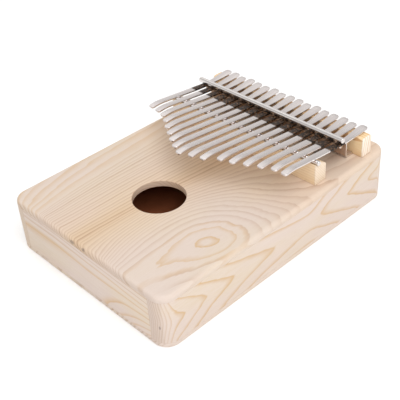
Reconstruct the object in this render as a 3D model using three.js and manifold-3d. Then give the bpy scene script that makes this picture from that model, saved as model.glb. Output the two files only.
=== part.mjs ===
// A box mbira: seventeen plucked steel tines on a hollow pine sound box.
// Millimetres, +Z up. +X runs across the tines and +Y from the playing end towards the tails.
// The origin is the middle of the underside.

import * as THREE from 'three';
import { mergeVertices } from 'three/addons/utils/BufferGeometryUtils.js';
import Module from 'manifold-3d';

const wasm = await Module();
wasm.setup();

// Sound box: a top and a back glued to two long rails and two end blocks.
const BOX_LENGTH = 185;
const BOX_WIDTH = 132.5;
const BOX_HEIGHT = 35;
const CORNER_RADIUS = 9;
const TOP_THICKNESS = 4;
const BACK_THICKNESS = 3;
const WALL = 11.5;
const TOP_EDGE_ROUND = 2.5;
const BACK_EDGE_ROUND = 1;
const SOUND_HOLE_RADIUS = 15.75;
const SOUND_HOLE_Y = -34.7;

// Inner brace, the hardwood bar under the top that takes the screws.
const BRACE_FRONT = 53;
const BRACE_REAR = 74;
const BRACE_HEIGHT = 10;

// Front bridge and the rod in its top edge, where the free part of each tine begins.
const BRIDGE_HALF_LENGTH = 59.8;
const BRIDGE_FRONT = 31.7;
const BRIDGE_REAR = 41.1;
const BRIDGE_FRONT_HEIGHT = 13.6;
const BRIDGE_REAR_HEIGHT = 11.4;
const FRONT_ROD_RADIUS = 1.5;
const FRONT_ROD_HALF_LENGTH = 60.4;
const FRONT_ROD_Y = 34;
const FRONT_ROD_Z = 49.2;

// Pressure rod, drawn down on the tines by four screws from inside the box.
const PRESSURE_ROD_RADIUS = 1.7;
const PRESSURE_ROD_HALF_LENGTH = 59.4;
const PRESSURE_ROD_SHIFT = -1.2;
const PRESSURE_ROD_Y = 58.5;
const CLAMP_SCREW_X = [-38.5, -10.5, 10.5, 38.5];
const CLAMP_SCREW_RADIUS = 0.9;
const CLAMP_HEAD_RADIUS = 2.2;
const CLAMP_HEAD_HEIGHT = 1.8;

// Bracket of bent sheet: a foot, an upright web and a lip that ends in a rolled bead.
const SHEET = 1.3;
const BEND_RADIUS = 2.5;
const BRACKET_HALF_LENGTH = 55.8;
const WEB_FRONT = 64.9;
const FOOT_REAR = 71.7;
const LIP_TOP = 47.95;
const BEAD_RADIUS = 1.65;
const BEAD_Y = 60;
const BRACKET_SCREW_X = [-42, 0, 42];
const BRACKET_SCREW_Y = 69.6;
const BRACKET_SCREW_RADIUS = 1.1;
const BRACKET_HEAD_RADIUS = 2;
const BRACKET_HEAD_HEIGHT = 1.6;
const BRACKET_SCREW_LENGTH = 13;

// Rear bridge under the tails.
const REAR_BRIDGE_HALF_LENGTH = 62.5;
const REAR_BRIDGE_FRONT = 72.1;
const REAR_BRIDGE_REAR = 80.4;
const REAR_BRIDGE_HEIGHT = 12.9;
const REAR_BRIDGE_ROUND = 1.6;

// Tines. Each one is a clamped shank and a free blade that swings about the front rod.
const TINE_PITCH = 7;
const TINE_THICKNESS = 1.1;
const BLADE_WIDTH = 4.3;
const NECK_WIDTH = 4.2;
const PADDLE_WIDTH = 5.6;
const BLADE_LENGTHS = [
  24, 25, 27, 31, 36, 40.5, 45, 49, 52.5, 49.5, 47, 40.5, 38, 34, 30, 26.5, 26,
];
const BLADE_RISE = 0.118;
const TIP_CURL_LENGTH = 11;
const TIP_CURL_DROP = 1.48;
const TIP_CORNER_RADIUS = 1.7;
const NECK_FRONT = 54.5;
const NECK_REAR = 65;
const SHOULDER_LENGTH = 4;
const PADDLE_FRONT = 76;
const PADDLE_CORNER_RADIUS = 2.4;
const TAIL_END = 82;
const TAIL_SCATTER = 0.7;

// The clearance between pieces that move or are cut to suit each other.
const GAP = 0.3;
const ROD_SIDES = 24;

const UNDER_TOP = BOX_HEIGHT - TOP_THICKNESS;
const TINE_MID_Z = FRONT_ROD_Z + FRONT_ROD_RADIUS + GAP + TINE_THICKNESS / 2;

// Height of a tine's middle where the pressure rod holds it down.
const CLAMPED_Z = 48.95;
const PRESSURE_ROD_Z = CLAMPED_Z + TINE_THICKNESS / 2 + GAP + PRESSURE_ROD_RADIUS;

// A shank's middle line, in (Y, Z), from the front rod, under the pressure rod, to the tail.
const SHANK_LINE = new THREE.SplineCurve([
  new THREE.Vector2(FRONT_ROD_Y, TINE_MID_Z),
  new THREE.Vector2(46, 50.15),
  new THREE.Vector2(PRESSURE_ROD_Y, CLAMPED_Z),
  new THREE.Vector2(66, 48.75),
  new THREE.Vector2(74, 49),
  new THREE.Vector2(84, 49.8),
]).getPoints(400);
const SHANK_STATIONS = 22;

const PINE = { color: 0xe6cfb4, roughness: 0.7, metalness: 0 };
const BRIDGE_WOOD = { color: 0xdcb78a, roughness: 0.65, metalness: 0 };
const BRACE_WOOD = { color: 0xb98a5c, roughness: 0.75, metalness: 0 };
const CHROME = { color: 0xd9d9dc, roughness: 0.15, metalness: 1 };
const SPRING_STEEL = { color: 0xcfcac6, roughness: 0.28, metalness: 1 };
const ZINC = { color: 0xb8babd, roughness: 0.4, metalness: 1 };

const object = new THREE.Group();

function addPart(name, geometry, look) {
  const mesh = new THREE.Mesh(geometry, new THREE.MeshStandardMaterial(look));
  mesh.name = name;
  object.add(mesh);
}

function toSolid(geometry) {
  const bare = geometry.clone();
  bare.deleteAttribute('normal');
  bare.deleteAttribute('uv');
  const merged = mergeVertices(bare);
  return new wasm.Manifold(new wasm.Mesh({
    numProp: 3,
    vertProperties: merged.attributes.position.array,
    triVerts: new Uint32Array(merged.index.array),
  }));
}

function toGeometry(solid) {
  const mesh = solid.getMesh();
  const geometry = new THREE.BufferGeometry();
  geometry.setAttribute('position', new THREE.BufferAttribute(mesh.vertProperties, 3));
  geometry.setIndex(new THREE.BufferAttribute(mesh.triVerts, 1));
  return geometry;
}

function cut(geometry, tools) {
  return toGeometry(tools.reduce((solid, tool) => solid.subtract(toSolid(tool)), toSolid(geometry)));
}

function block(low, high) {
  const size = high.map((value, axis) => value - low[axis]);
  const middle = high.map((value, axis) => (value + low[axis]) / 2);
  return new THREE.BoxGeometry(...size).translate(...middle);
}

function uprightCylinder(x, y, bottom, top, radius, sides = ROD_SIDES) {
  const geometry = new THREE.CylinderGeometry(radius, radius, top - bottom, sides);
  return geometry.rotateX(Math.PI / 2).translate(x, y, (bottom + top) / 2);
}

function crossCylinder(y, z, radius, halfLength) {
  const geometry = new THREE.CylinderGeometry(radius, radius, 2 * halfLength, ROD_SIDES);
  return geometry.rotateZ(Math.PI / 2).translate(0, y, z);
}

// Skins a row of matching convex rings, each counter-clockwise about the way the row runs.
function skin(rings) {
  const count = rings[0].length;
  const index = [];
  for (let ring = 0; ring < rings.length - 1; ring += 1) {
    for (let point = 0; point < count; point += 1) {
      const next = (point + 1) % count;
      const a = ring * count + point;
      const b = ring * count + next;
      index.push(a, b, b + count, a, b + count, a + count);
    }
  }
  const last = (rings.length - 1) * count;
  for (let point = 1; point < count - 1; point += 1) {
    index.push(0, point + 1, point);
    index.push(last, last + point, last + point + 1);
  }
  const geometry = new THREE.BufferGeometry().setFromPoints(rings.flat());
  geometry.setIndex(index);
  return geometry;
}

// Extrudes a shape drawn in (Y, Z) along X, between -halfLength and +halfLength.
function extrudeAcross(shape, halfLength) {
  const settings = { depth: 2 * halfLength, bevelEnabled: false, curveSegments: 6 };
  const geometry = new THREE.ExtrudeGeometry(shape, settings);
  const turn = new THREE.Matrix4().makeBasis(
    new THREE.Vector3(0, 1, 0),
    new THREE.Vector3(0, 0, 1),
    new THREE.Vector3(1, 0, 0),
  );
  return geometry.applyMatrix4(turn).translate(-halfLength, 0, 0);
}

// ---- Sound box ----

function plateRing(inset, z) {
  const radius = CORNER_RADIUS - inset;
  const steps = 8;
  const ring = [];
  const corners = [[1, -1, -90], [1, 1, 0], [-1, 1, 90], [-1, -1, 180]];
  for (const [sideX, sideY, startDegrees] of corners) {
    for (let step = 0; step <= steps; step += 1) {
      const angle = THREE.MathUtils.degToRad(startDegrees + (90 * step) / steps);
      const x = sideX * (BOX_WIDTH / 2 - CORNER_RADIUS) + radius * Math.cos(angle);
      const y = sideY * (BOX_LENGTH / 2 - CORNER_RADIUS) + radius * Math.sin(angle);
      ring.push(new THREE.Vector3(x, y, z));
    }
  }
  return ring;
}

function screwHoles(bottom, top) {
  const holes = CLAMP_SCREW_X.map((x) => (
    uprightCylinder(x, PRESSURE_ROD_Y, bottom, top, CLAMP_SCREW_RADIUS + GAP)
  ));
  for (const x of BRACKET_SCREW_X) {
    holes.push(uprightCylinder(x, BRACKET_SCREW_Y, bottom, top, BRACKET_SCREW_RADIUS + GAP));
  }
  return holes;
}

function topPlate() {
  const rings = [plateRing(0, UNDER_TOP)];
  const steps = 4;
  for (let step = 0; step <= steps; step += 1) {
    const angle = (Math.PI / 2) * (step / steps);
    const inset = TOP_EDGE_ROUND * (1 - Math.cos(angle));
    rings.push(plateRing(inset, BOX_HEIGHT - TOP_EDGE_ROUND * (1 - Math.sin(angle))));
  }
  const soundHole = uprightCylinder(
    0, SOUND_HOLE_Y, UNDER_TOP - 1, BOX_HEIGHT + 1, SOUND_HOLE_RADIUS, 72,
  );
  return cut(skin(rings), [soundHole, ...screwHoles(UNDER_TOP - 1, BOX_HEIGHT + 1)]);
}

function backPlate() {
  const rings = [];
  const steps = 3;
  for (let step = 0; step <= steps; step += 1) {
    const angle = (Math.PI / 2) * (1 - step / steps);
    const inset = BACK_EDGE_ROUND * (1 - Math.cos(angle));
    rings.push(plateRing(inset, BACK_EDGE_ROUND * (1 - Math.sin(angle))));
  }
  rings.push(plateRing(0, BACK_THICKNESS));
  return skin(rings);
}

// A full-length rail. Its two outer corners follow the round corners of the box.
function rail() {
  const outside = BOX_WIDTH / 2;
  const inside = outside - WALL;
  const end = BOX_LENGTH / 2;
  const cornerX = outside - CORNER_RADIUS;
  const cornerY = end - CORNER_RADIUS;
  const shape = new THREE.Shape();
  shape.moveTo(inside, -end);
  shape.lineTo(cornerX, -end);
  shape.absarc(cornerX, -cornerY, CORNER_RADIUS, -Math.PI / 2, 0, false);
  shape.lineTo(outside, cornerY);
  shape.absarc(cornerX, cornerY, CORNER_RADIUS, 0, Math.PI / 2, false);
  shape.lineTo(inside, end);
  const settings = { depth: UNDER_TOP - BACK_THICKNESS, bevelEnabled: false, curveSegments: 8 };
  return new THREE.ExtrudeGeometry(shape, settings).translate(0, 0, BACK_THICKNESS);
}

function endBlock() {
  const half = BOX_WIDTH / 2 - WALL;
  const end = BOX_LENGTH / 2;
  return block([-half, end - WALL, BACK_THICKNESS], [half, end, UNDER_TOP]);
}

function innerBrace() {
  const half = BOX_WIDTH / 2 - WALL;
  const bottom = UNDER_TOP - BRACE_HEIGHT;
  const bar = block([-half, BRACE_FRONT, bottom], [half, BRACE_REAR, UNDER_TOP]);
  return cut(bar, screwHoles(bottom - 1, UNDER_TOP + 1));
}

// ---- Bridges and rods ----

function frontBridge() {
  const shape = new THREE.Shape();
  const front = BOX_HEIGHT + BRIDGE_FRONT_HEIGHT;
  const rear = BOX_HEIGHT + BRIDGE_REAR_HEIGHT;
  shape.moveTo(BRIDGE_FRONT, BOX_HEIGHT);
  shape.lineTo(BRIDGE_REAR, BOX_HEIGHT);
  shape.lineTo(BRIDGE_REAR, rear - 0.9);
  shape.quadraticCurveTo(BRIDGE_REAR, rear, BRIDGE_REAR - 0.9, rear + 0.25);
  shape.lineTo(FRONT_ROD_Y + 2.4, front);
  shape.lineTo(BRIDGE_FRONT, front);
  const groove = crossCylinder(
    FRONT_ROD_Y, FRONT_ROD_Z, FRONT_ROD_RADIUS + GAP, BRIDGE_HALF_LENGTH + 1,
  );
  return cut(extrudeAcross(shape, BRIDGE_HALF_LENGTH), [groove]);
}

function rearBridge() {
  const shape = new THREE.Shape();
  const top = BOX_HEIGHT + REAR_BRIDGE_HEIGHT;
  const shoulder = top - REAR_BRIDGE_ROUND;
  shape.moveTo(REAR_BRIDGE_FRONT, BOX_HEIGHT);
  shape.lineTo(REAR_BRIDGE_REAR, BOX_HEIGHT);
  shape.lineTo(REAR_BRIDGE_REAR, shoulder);
  shape.absarc(
    REAR_BRIDGE_REAR - REAR_BRIDGE_ROUND, shoulder, REAR_BRIDGE_ROUND, 0, Math.PI / 2, false,
  );
  shape.absarc(
    REAR_BRIDGE_FRONT + REAR_BRIDGE_ROUND, shoulder, REAR_BRIDGE_ROUND, Math.PI / 2, Math.PI, false,
  );
  return extrudeAcross(shape, REAR_BRIDGE_HALF_LENGTH);
}

function rod(radius, halfLength, y, z) {
  const chamfer = radius * 0.25;
  const profile = [
    new THREE.Vector2(0, -halfLength),
    new THREE.Vector2(radius - chamfer, -halfLength),
    new THREE.Vector2(radius, chamfer - halfLength),
    new THREE.Vector2(radius, halfLength - chamfer),
    new THREE.Vector2(radius - chamfer, halfLength),
    new THREE.Vector2(0, halfLength),
  ];
  return new THREE.LatheGeometry(profile, ROD_SIDES).rotateZ(-Math.PI / 2).translate(0, y, z);
}

// The pressure rod has a blind hole in its underside for each clamp screw.
function pressureRod() {
  const plain = rod(
    PRESSURE_ROD_RADIUS, PRESSURE_ROD_HALF_LENGTH, PRESSURE_ROD_Y, PRESSURE_ROD_Z,
  ).translate(PRESSURE_ROD_SHIFT, 0, 0);
  const bottom = PRESSURE_ROD_Z - PRESSURE_ROD_RADIUS - 1;
  const top = PRESSURE_ROD_Z + 0.5;
  return cut(plain, CLAMP_SCREW_X.map((x) => (
    uprightCylinder(x, PRESSURE_ROD_Y, bottom, top, CLAMP_SCREW_RADIUS + GAP)
  )));
}

// ---- Bracket ----

function bracketShape() {
  const innerRadius = BEND_RADIUS - SHEET;
  const footBendY = WEB_FRONT + BEND_RADIUS;
  const footBendZ = BOX_HEIGHT + BEND_RADIUS;
  const lipBendY = WEB_FRONT - innerRadius;
  const lipBendZ = LIP_TOP - BEND_RADIUS;
  const beadZ = LIP_TOP - BEAD_RADIUS;
  const beadJoin = Math.asin((LIP_TOP - SHEET - beadZ) / BEAD_RADIUS);
  const shape = new THREE.Shape();
  shape.moveTo(FOOT_REAR, BOX_HEIGHT);
  shape.absarc(footBendY, footBendZ, BEND_RADIUS, -Math.PI / 2, -Math.PI, true);
  shape.absarc(lipBendY, lipBendZ, innerRadius, 0, Math.PI / 2, false);
  shape.absarc(BEAD_Y, beadZ, BEAD_RADIUS, beadJoin, -1.5 * Math.PI, true);
  shape.absarc(lipBendY, lipBendZ, BEND_RADIUS, Math.PI / 2, 0, true);
  shape.absarc(footBendY, footBendZ, innerRadius, Math.PI, 1.5 * Math.PI, false);
  shape.lineTo(FOOT_REAR, BOX_HEIGHT + SHEET);
  return shape;
}

function bracket() {
  const notchHalf = CLAMP_SCREW_RADIUS + 0.6;
  const notchRear = PRESSURE_ROD_Y + CLAMP_SCREW_RADIUS + 0.8;
  const tools = CLAMP_SCREW_X.map((x) => block(
    [x - notchHalf, BEAD_Y - BEAD_RADIUS - 1, LIP_TOP - 2 * BEAD_RADIUS - 1],
    [x + notchHalf, notchRear, LIP_TOP + 1],
  ));
  for (const x of BRACKET_SCREW_X) {
    tools.push(uprightCylinder(
      x, BRACKET_SCREW_Y, BOX_HEIGHT - 1, BOX_HEIGHT + SHEET + 1, BRACKET_SCREW_RADIUS + GAP,
    ));
  }
  return cut(extrudeAcross(bracketShape(), BRACKET_HALF_LENGTH), tools);
}

// ---- Screws ----

// Turns a profile of [radius, height] pairs about the upright axis through (x, y).
function turned(profile, x, y, z) {
  const points = profile.map(([radius, height]) => new THREE.Vector2(radius, height));
  return new THREE.LatheGeometry(points, ROD_SIDES).rotateX(Math.PI / 2).translate(x, y, z);
}

function slotCutter(x, y, bottom, top, headRadius) {
  const halfWidth = headRadius * 0.16;
  const reach = headRadius + 1;
  return block([x - reach, y - halfWidth, bottom], [x + reach, y + halfWidth, top]);
}

// Its head is under the brace and its thread goes up between two tines into the rod.
function clampScrew(x) {
  const headZ = UNDER_TOP - BRACE_HEIGHT;
  const length = PRESSURE_ROD_Z + 0.2 - headZ;
  const screw = turned([
    [0, -CLAMP_HEAD_HEIGHT],
    [CLAMP_HEAD_RADIUS * 0.8, -CLAMP_HEAD_HEIGHT],
    [CLAMP_HEAD_RADIUS, -CLAMP_HEAD_HEIGHT * 0.6],
    [CLAMP_HEAD_RADIUS, 0],
    [CLAMP_SCREW_RADIUS, 0],
    [CLAMP_SCREW_RADIUS, length],
    [0, length],
  ], x, PRESSURE_ROD_Y, headZ);
  const headBottom = headZ - CLAMP_HEAD_HEIGHT;
  return cut(screw, [
    slotCutter(x, PRESSURE_ROD_Y, headBottom - 1, headBottom + 0.8, CLAMP_HEAD_RADIUS),
  ]);
}

// A wood screw through the bracket's foot into the top and the brace.
function bracketScrew(x) {
  const seat = BOX_HEIGHT + SHEET;
  const screw = turned([
    [0, -BRACKET_SCREW_LENGTH],
    [BRACKET_SCREW_RADIUS, 2.5 - BRACKET_SCREW_LENGTH],
    [BRACKET_SCREW_RADIUS, 0],
    [BRACKET_HEAD_RADIUS, 0],
    [BRACKET_HEAD_RADIUS, BRACKET_HEAD_HEIGHT * 0.4],
    [BRACKET_HEAD_RADIUS * 0.75, BRACKET_HEAD_HEIGHT * 0.85],
    [0, BRACKET_HEAD_HEIGHT],
  ], x, BRACKET_SCREW_Y, seat);
  const headTop = seat + BRACKET_HEAD_HEIGHT;
  return cut(screw, [
    slotCutter(x, BRACKET_SCREW_Y, headTop - 0.8, headTop + 1, BRACKET_HEAD_RADIUS),
  ]);
}

// ---- Tines ----

// One cross-section of a strip: its middle, its half width and the slope of its middle line.
function stripRing(x, y, z, halfWidth, slope) {
  const run = 1 / Math.hypot(1, slope);
  const up = new THREE.Vector3(0, -slope * run, run).multiplyScalar(TINE_THICKNESS / 2);
  const middle = new THREE.Vector3(x, y, z);
  const side = new THREE.Vector3(halfWidth, 0, 0);
  return [
    middle.clone().sub(up).sub(side),
    middle.clone().add(up).sub(side),
    middle.clone().add(up).add(side),
    middle.clone().sub(up).add(side),
  ];
}

// How far a rounded corner of this radius takes in the edge at a distance from the end.
function cornerInset(distance, radius) {
  if (distance >= radius) {
    return 0;
  }
  return radius - Math.sqrt(radius ** 2 - (radius - distance) ** 2);
}

// The blade rises in a straight line from the front rod, and its tip curls down.
function blade(x, length) {
  const fromTip = [0, 0.13, 0.5, 1.05, 1.7, 3.5, 5.5, 7.5, 9.5, TIP_CURL_LENGTH];
  const distances = fromTip.map((value) => length - value);
  distances.push(GAP / 2);
  const rings = distances.map((distance) => {
    const curled = Math.max(0, distance - (length - TIP_CURL_LENGTH)) / TIP_CURL_LENGTH;
    const curlSlope = (2 * TIP_CURL_DROP * curled) / TIP_CURL_LENGTH;
    const halfWidth = BLADE_WIDTH / 2 - cornerInset(length - distance, TIP_CORNER_RADIUS);
    const z = TINE_MID_Z + BLADE_RISE * distance - TIP_CURL_DROP * curled ** 2;
    return stripRing(x, FRONT_ROD_Y - distance, z, halfWidth, curlSlope - BLADE_RISE);
  });
  return skin(rings);
}

function shankHalfWidth(y, tailEnd) {
  const full = BLADE_WIDTH / 2;
  const neck = NECK_WIDTH / 2;
  const paddle = PADDLE_WIDTH / 2;
  const narrowing = THREE.MathUtils.smoothstep(y, NECK_FRONT - SHOULDER_LENGTH, NECK_FRONT);
  const widening = THREE.MathUtils.smoothstep(y, NECK_REAR, PADDLE_FRONT);
  const width = full + (neck - full) * narrowing + (paddle - neck) * widening;
  return width - cornerInset(tailEnd - y, PADDLE_CORNER_RADIUS);
}

function shank(x, tailEnd) {
  const start = FRONT_ROD_Y + GAP / 2;
  const stations = [];
  for (let station = 0; station < SHANK_STATIONS; station += 1) {
    const share = station / (SHANK_STATIONS - 1);
    stations.push(start + (tailEnd - PADDLE_CORNER_RADIUS - start) * share);
  }
  stations.push(tailEnd - 1.4, tailEnd - 0.6, tailEnd - 0.15, tailEnd);
  const rings = stations.map((y) => {
    const after = SHANK_LINE.findIndex((point) => point.x >= y);
    const low = SHANK_LINE[after - 1];
    const high = SHANK_LINE[after];
    const slope = (high.y - low.y) / (high.x - low.x);
    const z = low.y + slope * (y - low.x);
    return stripRing(x, y, z, shankHalfWidth(y, tailEnd), slope);
  });
  return skin(rings);
}

// ---- Assembly ----

addPart('top_plate', topPlate(), PINE);
addPart('back_plate', backPlate(), PINE);
addPart('side_rail_right', rail(), PINE);
addPart('side_rail_left', rail().rotateZ(Math.PI), PINE);
addPart('end_block_rear', endBlock(), PINE);
addPart('end_block_front', endBlock().rotateZ(Math.PI), PINE);
addPart('inner_brace', innerBrace(), BRACE_WOOD);
addPart('front_bridge', frontBridge(), BRIDGE_WOOD);
addPart('front_rod', rod(FRONT_ROD_RADIUS, FRONT_ROD_HALF_LENGTH, FRONT_ROD_Y, FRONT_ROD_Z), CHROME);
addPart('rear_bridge', rearBridge(), BRIDGE_WOOD);
addPart('bracket', bracket(), CHROME);
addPart('pressure_rod', pressureRod(), CHROME);

CLAMP_SCREW_X.forEach((x, index) => {
  addPart(`clamp_screw_${index + 1}`, clampScrew(x), ZINC);
});

BRACKET_SCREW_X.forEach((x, index) => {
  addPart(`bracket_screw_${index + 1}`, bracketScrew(x), ZINC);
});

BLADE_LENGTHS.forEach((length, index) => {
  const number = String(index + 1).padStart(2, '0');
  const x = (index - (BLADE_LENGTHS.length - 1) / 2) * TINE_PITCH;
  const tailEnd = TAIL_END + TAIL_SCATTER * Math.sin(2.4 * index);
  addPart(`tine_${number}_blade`, blade(x, length), SPRING_STEEL);
  addPart(`tine_${number}_shank`, shank(x, tailEnd), SPRING_STEEL);
});

export default object;
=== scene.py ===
"""The looks of a box mbira: seventeen steel tines on a hollow pine sound box.

Lengths are given in millimetres and turned into metres as each mesh is made.
+X runs across the tines, +Y from the playing end towards the tails and +Z up.
"""

import math
from collections import namedtuple

import bmesh
import bpy
from mathutils import Matrix, Vector


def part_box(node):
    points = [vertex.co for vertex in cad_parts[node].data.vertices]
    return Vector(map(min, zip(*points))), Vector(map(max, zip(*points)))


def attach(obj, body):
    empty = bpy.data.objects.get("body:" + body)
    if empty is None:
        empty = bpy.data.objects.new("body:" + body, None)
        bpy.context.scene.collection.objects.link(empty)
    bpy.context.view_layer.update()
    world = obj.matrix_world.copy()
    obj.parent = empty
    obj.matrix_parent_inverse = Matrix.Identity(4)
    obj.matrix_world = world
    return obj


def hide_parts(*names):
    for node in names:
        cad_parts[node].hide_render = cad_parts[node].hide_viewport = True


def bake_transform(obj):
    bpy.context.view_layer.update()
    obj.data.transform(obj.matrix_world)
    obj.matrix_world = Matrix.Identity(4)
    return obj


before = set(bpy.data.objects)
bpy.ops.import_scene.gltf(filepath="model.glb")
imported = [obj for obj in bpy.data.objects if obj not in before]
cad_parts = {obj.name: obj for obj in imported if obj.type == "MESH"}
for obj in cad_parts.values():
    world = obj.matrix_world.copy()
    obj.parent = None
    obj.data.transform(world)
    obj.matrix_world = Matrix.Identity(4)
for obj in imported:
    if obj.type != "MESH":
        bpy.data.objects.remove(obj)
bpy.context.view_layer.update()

MM = 0.001


def node_box(node):
    """A CAD node's lowest and highest corner, in millimetres."""
    low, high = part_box(node)
    return low / MM, high / MM


# ---- Camera ----

# Angles are in degrees. The azimuth turns from -Y towards +X.
CAMERA_AZIMUTH = 48.42
CAMERA_ELEVATION = 36.41
CAMERA_ROLL = -4.19
CAMERA_DISTANCE = 484.7
CAMERA_TARGET_HEIGHT = 17
CAMERA_MOVE_RIGHT = -2.59
CAMERA_MOVE_UP = -3.06
CAMERA_LENS = 71.67
CAMERA_NEAR = 10
CAMERA_FAR = 20000


def make_camera():
    """Stands the camera where it sees the front, the right side and the top."""
    azimuth = math.radians(CAMERA_AZIMUTH)
    elevation = math.radians(CAMERA_ELEVATION)
    roll = math.radians(CAMERA_ROLL)
    back = Vector((
        math.sin(azimuth) * math.cos(elevation),
        -math.cos(azimuth) * math.cos(elevation),
        math.sin(elevation),
    ))
    level_right = Vector((0, 0, 1)).cross(back).normalized()
    level_up = back.cross(level_right)
    right = math.cos(roll) * level_right + math.sin(roll) * level_up
    up = math.cos(roll) * level_up - math.sin(roll) * level_right
    place = Vector((0, 0, CAMERA_TARGET_HEIGHT)) + back * CAMERA_DISTANCE
    place += right * CAMERA_MOVE_RIGHT + up * CAMERA_MOVE_UP
    data = bpy.data.cameras.new("camera")
    data.lens = CAMERA_LENS
    data.clip_start = CAMERA_NEAR * MM
    data.clip_end = CAMERA_FAR * MM
    camera = bpy.data.objects.new("camera", data)
    turn = Matrix((right, up, back)).transposed().to_4x4()
    camera.matrix_world = Matrix.Translation(place * MM) @ turn
    bpy.context.scene.collection.objects.link(camera)
    bpy.context.scene.camera = camera


make_camera()

# ---- Sizes that the looks and the meshes share ----

_, BACK_HIGH = node_box("back_plate")
TOP_LOW, TOP_HIGH = node_box("top_plate")
HALF_WIDTH = TOP_HIGH.x
HALF_LENGTH = TOP_HIGH.y
WALL = 11.5
SOUND_HOLE_RADIUS = 15.75
SOUND_HOLE_Y = -34.7

# ---- Numbers and colours worked out by a node tree ----

MILLIMETRES_IN_METRE = 1000.0

# A Mix node has sockets for each kind of value, and these are its colour ones.
MIX_SHARE = 0
MIX_FIRST = 6
MIX_SECOND = 7
MIX_RESULT = 2


def feed(tree, socket, value):
    """Gives a node's input a plain number, or links a Field to it."""
    if isinstance(value, Field):
        tree.links.new(value.socket, socket)
    else:
        socket.default_value = value


class Field:
    """A number that differs from point to point, made by the nodes of one material or world."""

    def __init__(self, tree, socket):
        self.tree = tree
        self.socket = socket

    def calculate(self, operation, *others):
        """What one Math node makes of this number and the others, which are Fields or plain numbers."""
        node = self.tree.nodes.new("ShaderNodeMath")
        node.operation = operation
        for place, value in enumerate((self, *others)):
            feed(self.tree, node.inputs[place], value)
        return Field(self.tree, node.outputs[0])

    def __add__(self, other):
        return self.calculate("ADD", other)

    __radd__ = __add__

    def __sub__(self, other):
        return self.calculate("SUBTRACT", other)

    def __rsub__(self, other):
        return self * -1.0 + other

    def __mul__(self, other):
        return self.calculate("MULTIPLY", other)

    def __truediv__(self, other):
        return self.calculate("DIVIDE", other)

    def sqrt(self):
        return self.calculate("SQRT")

    def absolute(self):
        return self.calculate("ABSOLUTE")

    def power(self, exponent):
        return self.calculate("POWER", exponent)

    def least(self, other):
        return self.calculate("MINIMUM", other)

    def most(self, other):
        return self.calculate("MAXIMUM", other)

    def tanh(self):
        return self.calculate("TANH")

    def exponent(self):
        return self.calculate("EXPONENT")

    def blend(self, share, other):
        """This number where share is 0 and the other where it is 1."""
        return self + (other - self) * share

    def fraction(self):
        return self.calculate("FRACT")

    def floor(self):
        return self.calculate("FLOOR")

    def step(self, low, high):
        """0 below low, 1 above high and smooth between them. It falls where high is below low."""
        node = self.tree.nodes.new("ShaderNodeMapRange")
        node.interpolation_type = "SMOOTHSTEP"
        falling = high < low
        self.tree.links.new(self.socket, node.inputs["Value"])
        node.inputs["From Min"].default_value = min(low, high)
        node.inputs["From Max"].default_value = max(low, high)
        node.inputs["To Min"].default_value = 1.0 if falling else 0.0
        node.inputs["To Max"].default_value = 0.0 if falling else 1.0
        return Field(self.tree, node.outputs["Result"])

    def hill(self, middle, width):
        """1 at middle, falling to 0 at width on either side."""
        return (self - middle).absolute().step(width, 0.0)


class Finish:
    """A material with its node tree, its shader and the point being shaded, in millimetres."""

    def __init__(self, name):
        self.material = bpy.data.materials.new(name)
        self.material.use_nodes = True
        self.tree = self.material.node_tree
        self.shader = self.tree.nodes["Principled BSDF"]
        place = self.tree.nodes.new("ShaderNodeTexCoord")
        split = self.tree.nodes.new("ShaderNodeSeparateXYZ")
        self.tree.links.new(place.outputs["Object"], split.inputs[0])
        self.x, self.y, self.z = (
            Field(self.tree, split.outputs[axis]) * MILLIMETRES_IN_METRE for axis in range(3)
        )

    def noise(self, x, y, z, detail=2.0, roughness=0.5):
        """Smooth noise from 0 to 1, with about one bump for each unit of x, y and z."""
        join = self.tree.nodes.new("ShaderNodeCombineXYZ")
        for place, value in enumerate((x, y, z)):
            feed(self.tree, join.inputs[place], value)
        node = self.tree.nodes.new("ShaderNodeTexNoise")
        node.inputs["Scale"].default_value = 1.0
        node.inputs["Detail"].default_value = detail
        node.inputs["Roughness"].default_value = roughness
        self.tree.links.new(join.outputs[0], node.inputs["Vector"])
        return Field(self.tree, node.outputs[0])

    def mix(self, share, first, second):
        """A colour between first and second, which are colours or the result of another mix."""
        node = self.tree.nodes.new("ShaderNodeMix")
        node.data_type = "RGBA"
        self.tree.links.new(share.socket, node.inputs[MIX_SHARE])
        for place, colour in ((MIX_FIRST, first), (MIX_SECOND, second)):
            if isinstance(colour, tuple):
                node.inputs[place].default_value = (*colour, 1.0)
            else:
                self.tree.links.new(colour, node.inputs[place])
        return node.outputs[MIX_RESULT]

    def colour(self, colour):
        """Paints the surface with the result of a mix."""
        self.tree.links.new(colour, self.shader.inputs["Base Color"])

    def roughness(self, field):
        """Makes the surface as rough as field says, from 0 to 1."""
        self.tree.links.new(field.socket, self.shader.inputs["Roughness"])

    def bump(self, height, depth, strength=1.0):
        """height runs from 0 to 1 and stands for depth millimetres."""
        node = self.tree.nodes.new("ShaderNodeBump")
        node.inputs["Strength"].default_value = strength
        node.inputs["Distance"].default_value = depth * MM
        self.tree.links.new(height.socket, node.inputs["Height"])
        self.tree.links.new(node.outputs[0], self.shader.inputs["Normal"])


def srgb(text):
    """A colour written as six hexadecimal digits, as linear light."""
    values = (int(text[place:place + 2], 16) / 255 for place in (0, 2, 4))
    return tuple(v / 12.92 if v <= 0.04045 else ((v + 0.055) / 1.055) ** 2.4 for v in values)


# ---- Wood ----

# pale, warm and blush make the ground, and late and gold are the colours of the growth lines.
Tones = namedtuple("Tones", "pale warm blush late gold")

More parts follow.
